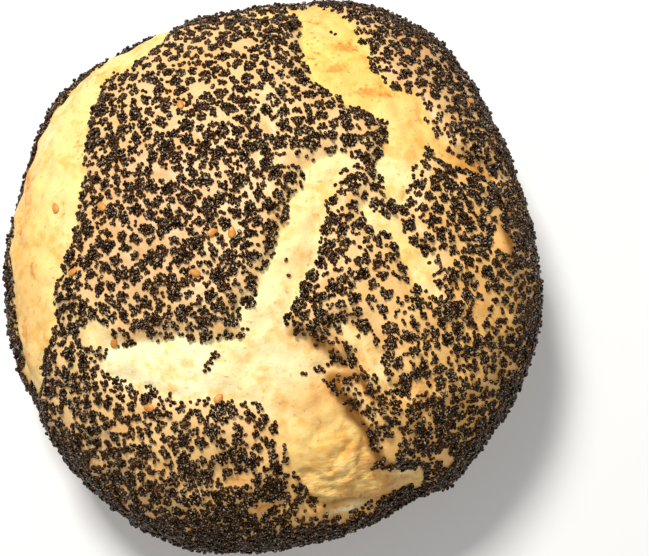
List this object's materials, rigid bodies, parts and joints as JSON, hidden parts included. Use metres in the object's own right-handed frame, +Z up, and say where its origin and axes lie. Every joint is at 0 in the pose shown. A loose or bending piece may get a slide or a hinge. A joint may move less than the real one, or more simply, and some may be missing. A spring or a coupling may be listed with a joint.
{
  "type": "white poppy seed bread",
  "caption": "Round white bread loaf with petals of poppy-seeded crust parted by bare golden splits, standing on a flat base.",
  "frame": {"origin": "centre of the flat base, under the middle of the loaf's bounding box", "axes": "+Z up from the flat base to the crown; +Y away from the viewer of the picture; +X to the viewer's right"},
  "size_m": [0.1534, 0.158, 0.0682],
  "materials": {
    "crust": "satin, baked; golden skin with pale bare dough in the splits"
  },
  "bodies": {
    "root": {"loaf": "crust"}
  },
  "joints": []
}
